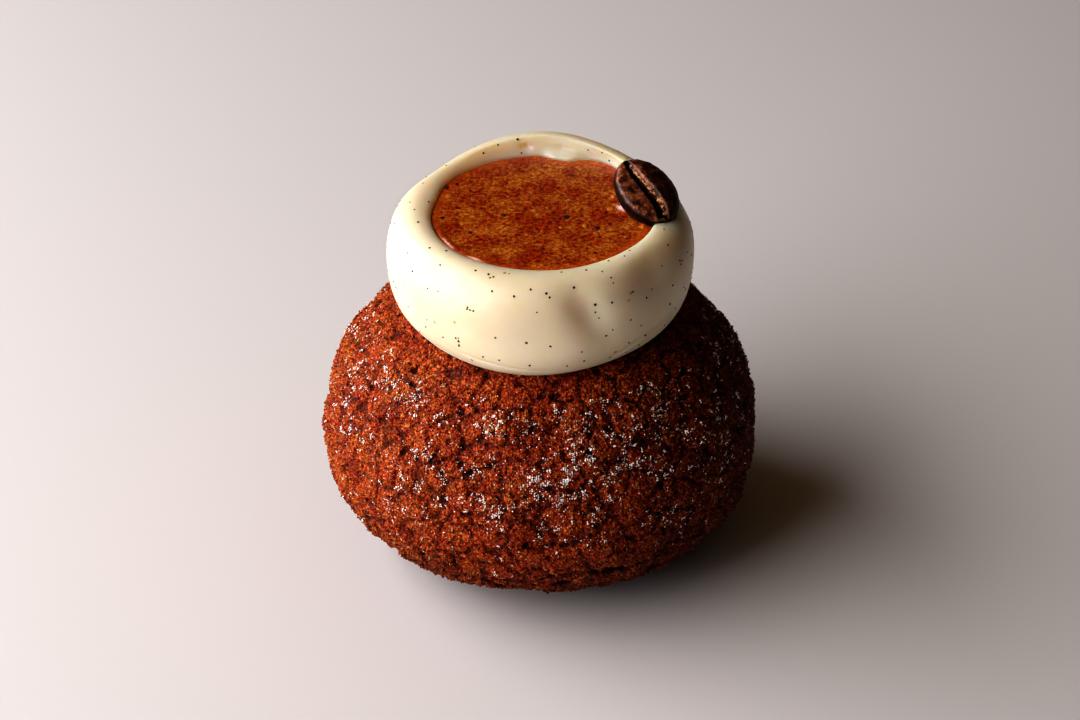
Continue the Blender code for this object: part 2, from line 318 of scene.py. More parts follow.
def vertex_normals(obj):
    normals = np.empty(len(obj.data.vertices) * 3, dtype=np.float32)
    obj.data.vertex_normals.foreach_get("vector", normals)
    return normals.reshape(-1, 3)


def store_attribute(obj, name, values):
    attribute = obj.data.attributes.new(name, 'FLOAT', 'POINT')
    attribute.data.foreach_set("value", np.asarray(values, dtype=np.float32))


def relief_texture(name, kind, size, **settings):
    """A procedural texture whose pattern has a real size in metres."""
    texture = bpy.data.textures.new(name, kind)
    texture.noise_scale = size
    for key, value in settings.items():
        setattr(texture, key, value)
    return texture


def spin_section(name, section, steps):
    """Draw a section of (radius, height) points and spin it round the Z axis."""
    mesh = bpy.data.meshes.new(name)
    edges = [(i, i + 1) for i in range(len(section) - 1)]
    mesh.from_pydata([(radius, 0.0, height) for radius, height in section], edges, [])
    obj = bpy.data.objects.new(name, mesh)
    bpy.context.scene.collection.objects.link(obj)
    work_on(obj)
    bpy.ops.object.mode_set(mode='EDIT')
    bpy.ops.mesh.select_all(action='SELECT')
    bpy.ops.mesh.spin(steps=steps, angle=math.tau, center=(0, 0, 0), axis=(0, 0, 1))
    bpy.ops.mesh.select_all(action='SELECT')
    bpy.ops.mesh.remove_doubles(threshold=0.00001)
    bpy.ops.mesh.normals_make_consistent(inside=False)
    bpy.ops.object.mode_set(mode='OBJECT')
    return obj


def reshape(obj, rule):
    for vertex in obj.data.vertices:
        vertex.co = rule(vertex.co)
    obj.data.update()


def scatter_grains(name, places, normals, sizes, seed, flatness=0.7):
    """Join small jagged grains into one mesh: octahedra, each turned and stretched its own way."""
    draw = np.random.default_rng(seed)
    corner = np.array(((1, 0, 0), (-1, 0, 0), (0, 1, 0), (0, -1, 0), (0, 0, 1), (0, 0, -1)), float)
    face = np.array(((0, 2, 4), (2, 1, 4), (1, 3, 4), (3, 0, 4),
                     (2, 0, 5), (1, 2, 5), (3, 1, 5), (0, 3, 5)))
    count = len(places)
    shape = corner[None] * draw.uniform(0.6, 1.3, (count, 6, 1)) * sizes[:, None, None] / 2
    shape[:, :, 2] *= flatness
    spin = draw.uniform(0, math.tau, count)
    helper = np.where(np.abs(normals[:, 2:3]) < 0.9, (0.0, 0.0, 1.0), (1.0, 0.0, 0.0))
    side = np.cross(normals, helper)
    side /= np.linalg.norm(side, axis=1, keepdims=True)
    other = np.cross(normals, side)
    first = side * np.cos(spin)[:, None] + other * np.sin(spin)[:, None]
    second = np.cross(normals, first)
    world = (shape[:, :, 0:1] * first[:, None] + shape[:, :, 1:2] * second[:, None]
             + shape[:, :, 2:3] * normals[:, None] + places[:, None])
    faces = (face[None] + 6 * np.arange(count)[:, None, None]).reshape(-1, 3)
    mesh = bpy.data.meshes.new(name)
    mesh.from_pydata(world.reshape(-1, 3).tolist(), [], faces.tolist())
    obj = bpy.data.objects.new(name, mesh)
    bpy.context.scene.collection.objects.link(obj)
    return obj


# ---- crust -----------------------------------------------------------------------------

def weigh_crumbly(obj):
    """Weight the crust for relief: none on the flat underside and under the cream."""
    group = obj.vertex_groups.new(name="crumbly")
    for index, height in enumerate(vertex_places(obj)[:, 2].tolist()):
        weight = smooth_step(CRUST_FOOT * 0.3, CRUST_FOOT * 2.0, height)
        weight *= 1.0 - smooth_step(CRUST_CROWN - 1.0 * MM, CRUST_CROWN, height)
        group.add([index], weight, 'REPLACE')


def ramp_texture(texture, stops):
    """Reshape a texture's brightness between (place, grey) stops."""
    texture.use_color_ramp = True
    for element, (place, grey) in zip(texture.color_ramp.elements, stops):
        element.position = place
        element.color = (grey, grey, grey, 1.0)
    return texture


def crust_textures():
    """The crust's relief, coarse to fine: texture, height in metres and its middle level."""
    swell = relief_texture("crust_swell", 'CLOUDS', 3.0 * MM, noise_depth=2)
    clump = relief_texture("crust_clump", 'VORONOI', 1.1 * MM)
    pits = relief_texture("crust_pits", 'CLOUDS', 1.2 * MM, noise_depth=2)
    ramp_texture(pits, ((0.22, 0.0), (0.37, 1.0)))
    cracks = relief_texture("crust_cracks", 'VORONOI', 4.6 * MM, weight_1=-1.0, weight_2=1.0)
    ramp_texture(cracks, ((0.0, 0.0), (0.07, 1.0)))
    grain = relief_texture("crust_grain", 'CLOUDS', 0.42 * MM, noise_depth=2, noise_type='HARD_NOISE')
    return ((swell, 0.40 * MM, 0.5), (clump, -0.42 * MM, 0.4), (pits, 0.50 * MM, 1.0),
            (cracks, 0.50 * MM, 1.0), (grain, 0.60 * MM, 0.5))


def wrinkle_foot(crust):
    """Press fine level splits into the lower crust, where the bun spread and set."""
    for vertex in crust.data.vertices:
        x, y, z = vertex.co
        low = smooth_step(*WRINKLES_START, z) * (1.0 - smooth_step(*WRINKLES_END, z))
        if low > 0.0:
            bend = noise.noise(Vector((x, y, 2.0 * z)) / (8.0 * MM))
            wave = math.sin(math.tau * (z / WRINKLE_SPACING + 1.2 * bend))
            patch = smooth_step(-0.30, 0.10, noise.noise(Vector((x, y, 3.0 * z)) / (4.0 * MM)))
            groove = smooth_step(0.40, 1.0, wave) * low * patch
            vertex.co -= Vector((x, y, 0.0)).normalized() * WRINKLE_DEPTH * groove
    crust.data.update()


def make_crust():
    """Craquelin: a sugar and butter dough that bakes into a dry, sandy, cracked crust."""
    crust = copy_of_node("choux_bun", "craquelin_crust")
    modify(crust, 'REMESH', mode='VOXEL', voxel_size=CRUST_VOXEL, adaptivity=0.0)
    modify(crust, 'SMOOTH', factor=0.5, iterations=14)
    flat = vertex_places(crust)
    outward = vertex_normals(crust)
    weigh_crumbly(crust)
    for texture, height, middle in crust_textures():
        modify(crust, 'DISPLACE', texture=texture, texture_coords='LOCAL', strength=height,
               mid_level=middle, vertex_group="crumbly")
    wrinkle_foot(crust)
    # The relief is kept for the material, which paints light on the raised crust and shade in its low
    # parts
    relief = ((vertex_places(crust) - flat) * outward).sum(axis=1) / MM
    store_attribute(crust, "relief", relief)
    crust.vertex_groups.clear()
    crust.data.shade_smooth()
    dress(crust, craquelin_material(), "choux_bun")
    return crust


def thin_crust(crust):
    """Drop faces where the crust is flat, mostly on its underside and under the cream."""
    modify(crust, 'DECIMATE', ratio=CRUST_KEPT)


def make_crumbs(crust, material):
    """Loose sandy crumbs of the crust, stuck all over it."""
    draw = np.random.default_rng(11)
    places, normals = vertex_places(crust), vertex_normals(crust)
    beside_cream = np.hypot(places[:, 0], places[:, 1]) > HIDDEN_RADIUS
    open_crust = (places[:, 2] > CRUMB_LOWEST) & ((places[:, 2] < HIDDEN_HEIGHT) | beside_cream)
    relief = np.empty(len(places), dtype=np.float32)
    crust.data.attributes["relief"].data.foreach_get("value", relief)
    chances = open_crust * np.clip((relief + 0.65) / 0.4, 0.05, 1.0)
    chosen = draw.choice(len(places), size=CRUMB_COUNT, replace=False, p=chances / chances.sum())
    sizes = (0.22 + 0.30 * draw.random(CRUMB_COUNT) ** 2.0) * MM
    lifted = places[chosen] + normals[chosen] * sizes[:, None] * 0.08
    crumbs = scatter_grains("craquelin_crumbs", lifted, normals[chosen], sizes, 12, flatness=0.9)
    # Painted shade: crumbs take the crust's relief, so those in its low parts are coloured darker, with
    # a random tone added
    crumb_shade_and_tone = relief[chosen] + draw.normal(0.10, 0.24, CRUMB_COUNT)
    store_attribute(crumbs, "relief", np.repeat(crumb_shade_and_tone, 6))
    dress(crumbs, material)
    return crumbs


def craquelin_material():
    """Browned sugar dough: matt and sandy, painted lighter and amber where it stands out, with painted
    shade in its pits and between its grains.
    """
    material, shader = new_material("craquelin", Roughness=0.55, Specular_IOR_Level=0.22)
    place = add_node(material, 'ShaderNodeTexCoord').outputs["Object"]
    relief = add_node(material, 'ShaderNodeAttribute', attribute_name="relief").outputs["Fac"]
    # Painted light and shade: the higher the relief, the lighter and more amber the colour
    height = add_node(material, 'ShaderNodeMapRange', {1: -0.80, 2: 0.45}, {0: relief})
    # Painted shade in the pits, darkest in the deepest
    pit = add_node(material, 'ShaderNodeMapRange', {1: -0.95, 2: -0.35, 3: 0.22, 4: 1.0}, {0: relief})
    tone = add_node(material, 'ShaderNodeTexNoise', {"Scale": 130.0, "Detail": 3.0}, {"Vector": place})
    grains = add_node(material, 'ShaderNodeTexVoronoi', {"Scale": 2900.0}, {"Vector": place})
    fleck = add_node(material, 'ShaderNodeSeparateColor', links={0: grains.outputs["Color"]})
    # Painted shade between the fine grains, darker towards each grain's edge
    gap_shade = add_node(material, 'ShaderNodeMapRange', {1: 0.66, 2: 0.26, 3: 0.30, 4: 1.0},
                   {0: grains.outputs["Distance"]})
    mixed = add_node(material, 'ShaderNodeMath', {1: 0.40}, {0: height.outputs[0]}, operation='MULTIPLY')
    toned = add_node(material, 'ShaderNodeMath', {1: 0.30},
                     {0: tone.outputs["Fac"], 2: mixed.outputs[0]}, operation='MULTIPLY_ADD')
    flecked = add_node(material, 'ShaderNodeMath', {1: 0.50}, {0: fleck.outputs[0], 2: toned.outputs[0]},
                       operation='MULTIPLY_ADD')
    colour = add_node(material, 'ShaderNodeValToRGB', links={0: flecked.outputs[0]})
    set_stops(colour, ((0.18, "#4A0E05"), (0.38, "#9C2808"), (0.58, "#CA460E"), (0.80, "#E07024"),
                       (0.96, "#F6B868")))
    # Painted shade: darker towards the foot, where the floor shades it, and on the side turned away
    # from the window light; on the lit side, golden patches: partly patchy tone, partly painted light
    where = add_node(material, 'ShaderNodeSeparateXYZ', links={0: place})
    pale = add_node(material, 'ShaderNodeTexNoise', {"Scale": 230.0, "Detail": 3.0}, {"Vector": place})
    patch = add_node(material, 'ShaderNodeMapRange', {1: 0.46, 2: 0.66, 4: 0.40},
                     {0: pale.outputs["Fac"]})
    # Painted light: the golden patches are kept to the lit left side
    golden = add_node(material, 'ShaderNodeMapRange', {1: -4.0 * MM, 2: -26.0 * MM},
                      {0: where.outputs["X"]})
    share = add_node(material, 'ShaderNodeMath', links={0: patch.outputs[0], 1: golden.outputs[0]},
                     operation='MULTIPLY')
    gilded = add_node(material, 'ShaderNodeMix', {"B": linear("#E8822A")},
                      {"Factor": share.outputs[0], "A": colour.outputs[0]}, data_type='RGBA')
    # Painted shade: darker towards the floor
    foot = add_node(material, 'ShaderNodeMapRange', {1: 0.0, 2: 18.0 * MM, 3: 0.34, 4: 1.0},
                    {0: where.outputs["Z"]})
    # Painted shade: darker on the side turned away from the window light
    side = add_node(material, 'ShaderNodeMapRange', {1: 2.0 * MM, 2: 30.0 * MM, 3: 1.0, 4: 0.52},
                    {0: where.outputs["X"]})
    side_and_foot_shade = add_node(material, 'ShaderNodeMath', links={0: side.outputs[0], 1: foot.outputs[0]},
                       operation='MULTIPLY')
    pit_side_foot_shade = add_node(material, 'ShaderNodeMath', links={0: pit.outputs[0], 1: side_and_foot_shade.outputs[0]},
                     operation='MULTIPLY')
    # All the painted shade together: between the grains, in the pits, towards the floor and on the
    # shaded side
    dark = add_node(material, 'ShaderNodeMath', links={0: gap_shade.outputs[0], 1: pit_side_foot_shade.outputs[0]},
                    operation='MULTIPLY')
    shaded = add_node(material, 'ShaderNodeVectorMath',
                      links={0: gilded.outputs["Result"], 1: dark.outputs[0]}, operation='MULTIPLY')
    material.node_tree.links.new(shaded.outputs[0], shader.inputs["Base Color"])
    fine = add_node(material, 'ShaderNodeTexNoise', {"Scale": 3200.0, "Detail": 3.0}, {"Vector": place})
    both = add_node(material, 'ShaderNodeMath', {1: -0.9},
                    {0: grains.outputs["Distance"], 2: fine.outputs["Fac"]}, operation='MULTIPLY_ADD')
    bump = add_node(material, 'ShaderNodeBump', {"Strength": 0.9, "Distance": 0.20 * MM},
                    {"Height": both.outputs[0]})
    material.node_tree.links.new(bump.outputs[0], shader.inputs["Normal"])
    return material


# ---- cream -----------------------------------------------------------------------------

def cream_section():
    """The cream's section, from the middle of its hollow over the rim to its sunk foot."""
    points = [(0.0, POOL_LEVEL - HOLLOW_DEPTH)]
    for turn in (78, 60, 45, 32, 22, 14, 8, 3):
        across, drop = superellipse(HOLLOW_RADIUS, HOLLOW_DEPTH, HOLLOW_POWER, turn)
        points.append((across, POOL_LEVEL - drop))
    lip = CREAM_RIDGE - HOLLOW_RADIUS
    for turn in range(0, 91, 3):
        across, rise = superellipse(lip, CREAM_TOP - POOL_LEVEL, 2.0, turn)
        points.append((CREAM_RIDGE - across, POOL_LEVEL + rise))
    for turn in range(87, -1, -3):
        across, rise = superellipse(CREAM_WALL, CREAM_TOP - CREAM_WAIST, 2.0, turn)
        points.append((CREAM_RIDGE + across, CREAM_WAIST + rise))
    for turn in (2, 4, 6, 8, 10, *np.arange(12, 51, 0.75), *range(52, 71, 2)):
        across, drop = superellipse(CREAM_WALL, CREAM_FOOT, CREAM_FOOT_POWER, turn)
        points.append((CREAM_RIDGE + across, CREAM_WAIST - drop))
    for radius in (19.4 * MM, 17.0 * MM, 12.0 * MM, 6.0 * MM, 0.0):
        points.append((radius, dome_height(radius) - CREAM_SINK))
    return points


def shape_hollow(point):
    radius, angle = polar(point)
    beyond = 1.0 - smooth_step(HOLLOW_RADIUS, CREAM_RIDGE, radius)
    lapping = 1.0 - smooth_step(POOL_LEVEL + LAP_FULL, POOL_LEVEL + LAP_END, point.z)
    shift = sum_of_bumps(angle, HOLLOW_SHIFTS) + sum_of_bumps(angle, LAP_SHIFTS) * lapping
    shift *= min(radius / HOLLOW_RADIUS, 1.0) * beyond
    return point + outward_at(angle) * shift + POOL_CENTRE * beyond


def fold_wall(point, angle):
    """How far a fold of the inner wall pushes a point outwards."""
    return sum(push * math.exp(-(turn_between(angle, middle) / width) ** 2
                               - ((point.z - height) / half_height) ** 2)
               for middle, height, width, half_height, push in WALL_FOLDS)


def spread_foot(point):
    radius, angle = polar(point)
    low = 1.0 - smooth_step(CREAM_WAIST - CREAM_FOOT, CREAM_WAIST, point.z)
    near_foot = smooth_step(0.7 * CREAM_RIDGE, CREAM_RIDGE, radius)
    spread = sum_of_bumps(angle, FOOT_SPREADS) * low * near_foot
    drop = dome_height(radius) - dome_height(radius + spread)
    return point + outward_at(angle) * spread - Vector((0.0, 0.0, drop))


def dent_depth(angle, height):
    """How deep the wall is pressed in at an angle and a height."""
    total = sum_of_bumps(angle, CREAM_DENTS)
    for middle, level, width, half_height, lean, depth in HIGH_DENTS:
        across = turn_between(angle, middle + lean * (height - level) / MM) / width
        total += depth * math.exp(-across ** 2 - ((height - level) / half_height) ** 2)
    for middle, level, width, rise, depth in FOOT_CREASES:
        above = (height - level - rise * (angle - middle)) / CREASE_HALF_HEIGHT
        total += depth * math.exp(-(turn_between(angle, middle) / width) ** 2 - above ** 2)
    return total


def shape_cream(point):
    """Raise the rim at the back, dent the wall, spread the foot and shift the hollow."""
    radius, angle = polar(point)
    if point.z < POOL_LEVEL - HOLLOW_DEPTH - 0.3 * MM and radius < CREAM_RIDGE + 0.6 * CREAM_WALL:
        return spread_foot(point)
    on_ridge = smooth_step(HOLLOW_RADIUS, CREAM_RIDGE, radius)
    high = smooth_step(CREAM_WAIST, CREAM_TOP, point.z)
    lift = (sum_of_bumps(angle, RIM_RISES) - sum_of_bumps(angle, RIM_DIPS)) * on_ridge * high
    outside = smooth_step(CREAM_RIDGE, CREAM_RIDGE + 0.6 * CREAM_WALL, radius)
    dent = dent_depth(angle, point.z) * outside
    moved = shape_hollow(point) if radius < CREAM_RIDGE else spread_foot(point)
    moved += Vector((0.0, 0.0, lift)) - outward_at(angle) * dent
    inside = 1.0 - smooth_step(CREAM_RIDGE - 0.2 * MM, CREAM_RIDGE + 0.6 * MM, radius)
    return moved + outward_at(angle) * fold_wall(moved, angle) * inside


def make_cream():
    cream = spin_section("vanilla_cream_ring", cream_section(), CREAM_STEPS)
    reshape(cream, shape_cream)
    cream.data.shade_smooth()
    dress(cream, cream_material(), "vanilla_cream")
    return cream


def cream_material():
    """Whipped vanilla custard: smooth, fatty and a little translucent, with a satin gloss."""
    material, shader = new_material("vanilla_cream", Roughness=0.38, IOR=1.45, Specular_IOR_Level=0.65,
                                    Subsurface_Weight=0.85, Subsurface_Scale=5.5 * MM,
                                    Subsurface_Radius=(1.0, 0.65, 0.30))
    place = add_node(material, 'ShaderNodeTexCoord').outputs["Object"]
    cloud = add_node(material, 'ShaderNodeTexNoise', {"Scale": 90.0, "Detail": 2.0}, {"Vector": place})
    colour = add_node(material, 'ShaderNodeValToRGB', links={0: cloud.outputs["Fac"]})
    set_stops(colour, ((0.3, "#E3D2B4"), (0.7, "#ECDEC5")))
    # Seeds just under the skin show through as faint grey dots
    sunk = add_node(material, 'ShaderNodeTexVoronoi', {"Scale": 260.0}, {"Vector": place})
    kept = add_node(material, 'ShaderNodeSeparateColor', links={0: sunk.outputs["Color"]})
    chosen = add_node(material, 'ShaderNodeMath', {1: 0.35}, {0: kept.outputs[0]},
                      operation='GREATER_THAN')
    dot = add_node(material, 'ShaderNodeMapRange', {1: 0.035, 2: 0.090, 3: 0.75, 4: 0.0},
                   {0: sunk.outputs["Distance"]})
    faint = add_node(material, 'ShaderNodeMath', links={0: chosen.outputs[0], 1: dot.outputs[0]},
                     operation='MULTIPLY')
    seeded = add_node(material, 'ShaderNodeMix', {"B": linear("#6B5C48")},
                      {"Factor": faint.outputs[0], "A": colour.outputs[0]}, data_type='RGBA')
    material.node_tree.links.new(seeded.outputs["Result"], shader.inputs["Base Color"])
    ripple = add_node(material, 'ShaderNodeTexNoise', {"Scale": 420.0, "Detail": 3.0}, {"Vector": place})
    bump = add_node(material, 'ShaderNodeBump', {"Strength": 0.12, "Distance": 0.3 * MM},
                    {"Height": ripple.outputs["Fac"]})
    material.node_tree.links.new(bump.outputs[0], shader.inputs["Normal"])
    return material


# ---- praline ---------------------------------------------------------------------------

def shape_pool(point):
    """Shift the round pool to its hollow's outline, and heap it up against the bean."""
    moved = shape_hollow(point)
    if moved.z > POOL_LEVEL - 0.4 * MM:
        moved.z += sum(rise * math.exp(-((moved.x - x) ** 2 + (moved.y - y) ** 2) / width ** 2)
                       for x, y, width, rise in POOL_HEAPS)
        radius, angle = polar(point)
        across = (radius - 0.955 * HOLLOW_RADIUS) / (0.42 * MM)
        moved.z += sum_of_bumps(angle, POOL_BEADS) * math.exp(-across ** 2)
    return moved


def make_pool():
    """The praline's surface, level in the middle and rounded down to the cream at its edge."""
    section = [(HOLLOW_RADIUS * 0.95 * i / 60, POOL_LEVEL) for i in range(60)]
    section += [(HOLLOW_RADIUS * part, POOL_LEVEL - drop * MM)
                for part, drop in ((0.950, 0.0), (0.960, 0.0), (0.970, 0.0), (0.978, 0.01),
                                   (0.985, 0.04), (0.991, 0.10), (0.996, 0.20), (1.000, 0.35),
                                   (1.003, 0.6))]
    section += [(HOLLOW_RADIUS * part, POOL_LEVEL - 0.9 * MM) for part in (1.003, 0.6, 0.3, 0.0)]
    pool = spin_section("praline_surface", section, 192)
    flat = vertex_places(pool)
    thin = np.clip((np.hypot(flat[:, 0], flat[:, 1]) / HOLLOW_RADIUS - 0.86) / 0.12, 0.0, 1.0)
    reshape(pool, shape_pool)
    lumps = relief_texture("praline_lumps", 'CLOUDS', 1.1 * MM, noise_depth=2)
    modify(pool, 'DISPLACE', texture=lumps, texture_coords='LOCAL', direction='Z', strength=0.14 * MM,
           mid_level=0.5)
    store_attribute(pool, "thin", thin)
    pool.data.shade_smooth()
    dress(pool, praline_material(), "praline_pool")
    return pool


def make_nut_bits(pool):
    """Ground nuts awash in the praline: fine meal, some dark flakes of skin and pale bits of kernel."""
    draw = np.random.default_rng(31)
    places, normals = vertex_places(pool), vertex_normals(pool)
    wet = np.flatnonzero((places[:, 2] > POOL_LEVEL - 0.15 * MM) & (normals[:, 2] > 0.9)
                         & (places[:, 2] < POOL_LEVEL + 0.15 * MM))
    reach = np.hypot(places[wet, 0], places[wet, 1])
    count = NUT_MEAL + NUT_SKINS + NUT_KERNELS
    chosen = draw.choice(wet, size=count, replace=False, p=reach / reach.sum())
    sizes = np.concatenate((draw.uniform(0.30, 0.60, NUT_MEAL), draw.uniform(1.60, 2.50, NUT_SKINS),
                            draw.uniform(1.10, 2.20, NUT_KERNELS))) * MM
    tones = np.concatenate((draw.uniform(0.15, 0.85, NUT_MEAL), draw.uniform(0.0, 0.1, NUT_SKINS),
                            draw.uniform(0.80, 1.0, NUT_KERNELS)))
    bits = scatter_grains("praline_nut_bits", places[chosen], normals[chosen], sizes, 32, flatness=0.14)
    store_attribute(bits, "tone", np.repeat(tones, 6))
    modify(bits, 'SUBSURF', levels=1, render_levels=1)
    bits.data.shade_smooth()
    dress(bits, nut_material())
    return bits


def nut_material():
    """Roasted hazelnut under a film of caramel oil: amber kernel, dark red skin."""
    material, shader = new_material("roasted_nut", Roughness=0.50)
    tone = add_node(material, 'ShaderNodeAttribute', attribute_name="tone").outputs["Fac"]
    colour = add_node(material, 'ShaderNodeValToRGB', links={0: tone})
    set_stops(colour, ((0.0, "#3C1006"), (0.20, "#6E2008"), (0.50, "#96300A"), (0.80, "#B2561A"),
                       (1.0, "#BC7428")))
    material.node_tree.links.new(colour.outputs[0], shader.inputs["Base Color"])
    return material


def praline_material():
    """Runny nut praline: a wet caramel oil with ground nuts and their skins in it."""
    material, shader = new_material("praline", IOR=1.70)
    place = add_node(material, 'ShaderNodeTexCoord').outputs["Object"]
    # Clear oil stands in the beads and heaps above the level; the meal dulls it elsewhere
    level = add_node(material, 'ShaderNodeSeparateXYZ', links={0: place}).outputs["Z"]
    dull, clear = POOL_LEVEL + 0.12 * MM, POOL_LEVEL + 0.30 * MM
    gloss = add_node(material, 'ShaderNodeMapRange', {1: dull, 2: clear, 3: 0.22, 4: 1.0}, {0: level})
    rough = add_node(material, 'ShaderNodeMapRange', {1: dull, 2: clear, 3: 0.26, 4: 0.05}, {0: level})
    material.node_tree.links.new(gloss.outputs[0], shader.inputs["Specular IOR Level"])
    material.node_tree.links.new(rough.outputs[0], shader.inputs["Roughness"])
    meal = add_node(material, 'ShaderNodeTexNoise', {"Scale": 1650.0, "Detail": 4.0, "Roughness": 0.72},
                    {"Vector": place})
    hue = add_node(material, 'ShaderNodeTexNoise', {"Scale": 230.0, "Detail": 7.0, "Roughness": 0.74},
                   {"Vector": place})
    red = add_node(material, 'ShaderNodeValToRGB', links={0: meal.outputs["Fac"]})
    set_stops(red, ((0.34, "#480E04"), (0.47, "#862808"), (0.62, "#BA4A12")))
    ochre = add_node(material, 'ShaderNodeValToRGB', links={0: meal.outputs["Fac"]})
    set_stops(ochre, ((0.34, "#7C320C"), (0.48, "#B05818"), (0.63, "#D69038")))
    share = add_node(material, 'ShaderNodeMapRange', {1: 0.44, 2: 0.59, 4: 0.97},
                     {0: hue.outputs["Fac"]})
    colour = add_node(material, 'ShaderNodeMix',
                      links={"Factor": share.outputs[0], "A": red.outputs[0], "B": ochre.outputs[0]},
                      data_type='RGBA')
    # The layer is thin at its edge, where the cream glows through it
    thin = add_node(material, 'ShaderNodeAttribute', attribute_name="thin").outputs["Fac"]
    glow = add_node(material, 'ShaderNodeMath', {1: 0.45}, {0: thin}, operation='MULTIPLY')
    edged = add_node(material, 'ShaderNodeMix', {"B": linear("#D0500E")},
                     {"Factor": glow.outputs[0], "A": colour.outputs["Result"]}, data_type='RGBA')
    material.node_tree.links.new(edged.outputs["Result"], shader.inputs["Base Color"])
    bump = add_node(material, 'ShaderNodeBump', {"Strength": 0.6, "Distance": 0.12 * MM},
                    {"Height": meal.outputs["Fac"]})
    material.node_tree.links.new(bump.outputs[0], shader.inputs["Normal"])
    return material


# ---- coffee bean -----------------------------------------------------------------------

def groove_line(along):
    """The S of the bean's crease: its offset across the bean at a part of the length."""
    return 0.35 * MM * math.sin(math.pi * along) - GROOVE_OFFSET


def shape_bean(point):
    """A unit sphere's point moved to the bean: oval, flat in front with a crease, round behind."""
    depth = BEAN_FACE if point.z > 0.0 else BEAN_BACK
    made = Vector((point.x * BEAN_LENGTH / 2, point.y * BEAN_WIDTH / 2, point.z * depth))
    if made.z > 0.0:
        across = made.y - groove_line(point.x)
        flat = BEAN_FACE * math.sin(math.radians(90.0) * point.z) ** 0.45
        hollowed = flat - 0.35 * MM * math.exp(-((across + 2.4 * MM) / (1.3 * MM)) ** 2) * point.z
        rounded = 1.30 * made.z
        made.z = hollowed + (rounded - hollowed) * smooth_step(-0.4 * MM, 0.6 * MM, across)
        ends = 1.0 - smooth_step(0.82, 1.0, abs(point.x))
        side = (GROOVE_WIDTH if across < 0.0 else 0.50 * GROOVE_WIDTH) * (1.0 + 0.3 * point.x)
        made.z -= GROOVE_DEPTH * math.exp(-(across / side) ** 4) * ends
        ragged = 0.5 + 0.5 * noise.noise(Vector((point.x * 6.0, 0.3, 0.0)))
        made.z += 0.10 * MM * ragged * math.exp(-((across - 1.35 * MM) / (0.20 * MM)) ** 2) * ends
    return made


def place_bean(mesh):
    mesh.transform(Matrix.Translation(BEAN_CENTRE) @ BEAN_TURN.to_matrix().to_4x4())


def make_bean():
    deselect_all()
    bpy.ops.mesh.primitive_uv_sphere_add(segments=160, ring_count=80, radius=1.0,
                                         rotation=(0, math.radians(90), 0))
    bean = bpy.context.object
    bean.name = "roasted_bean"
    bpy.ops.object.transform_apply(location=False, rotation=True, scale=False)
    reshape(bean, shape_bean)
    shape = vertex_places(bean)
    # Painted shade on the side and back below the face's edge, partly where the sauce wets it, and on
    # the lobe right of the crease, turned away from the window light
    wet = 1.0 - np.clip((shape[:, 2] / MM - 0.55) / 0.5, 0.0, 1.0)
    shaded_lobe = np.clip((shape[:, 1] / MM + 0.1) / 1.1, 0.0, 1.0) * 0.72
    wrinkle = relief_texture("bean_wrinkle", 'CLOUDS', 1.2 * MM, noise_depth=3)
    modify(bean, 'DISPLACE', texture=wrinkle, texture_coords='LOCAL', strength=0.22 * MM, mid_level=0.5)
    store_attribute(bean, "dark", np.maximum(wet, shaded_lobe))
    place_bean(bean.data)
    bean.data.shade_smooth()
    dress(bean, bean_material(), "coffee_bean")
    return bean


def bean_material():
    """Dark roasted arabica: a brittle brown skin with a thin film of its own oil."""
    material, shader = new_material("roasted_coffee", Roughness=0.32, IOR=1.5)
    place = add_node(material, 'ShaderNodeTexCoord').outputs["Object"]
    dark = add_node(material, 'ShaderNodeAttribute', attribute_name="dark").outputs["Fac"]
    tone = add_node(material, 'ShaderNodeTexNoise', {"Scale": 900.0, "Detail": 6.0, "Roughness": 0.75},
                    {"Vector": place})
    colour = add_node(material, 'ShaderNodeValToRGB', links={0: tone.outputs["Fac"]})
    set_stops(colour, ((0.39, "#2A0E07"), (0.50, "#6E341C"), (0.60, "#B87650")))
    # Painted shade darkens the bean's side and back, partly where the sauce wets its lower edge, and the
    # lobe turned away from the window light
    shaded_and_wetted = add_node(material, 'ShaderNodeMix', {"B": linear("#1C0B07")},
                      {"Factor": dark, "A": colour.outputs[0]}, data_type='RGBA')
    material.node_tree.links.new(shaded_and_wetted.outputs["Result"], shader.inputs["Base Color"])
    oil = add_node(material, 'ShaderNodeMapRange', {3: 0.55, 4: 0.12}, {0: dark})
    material.node_tree.links.new(oil.outputs[0], shader.inputs["Specular IOR Level"])
    bump = add_node(material, 'ShaderNodeBump', {"Strength": 0.75, "Distance": 0.20 * MM},
                    {"Height": tone.outputs["Fac"]})
    material.node_tree.links.new(bump.outputs[0], shader.inputs["Normal"])
    return material


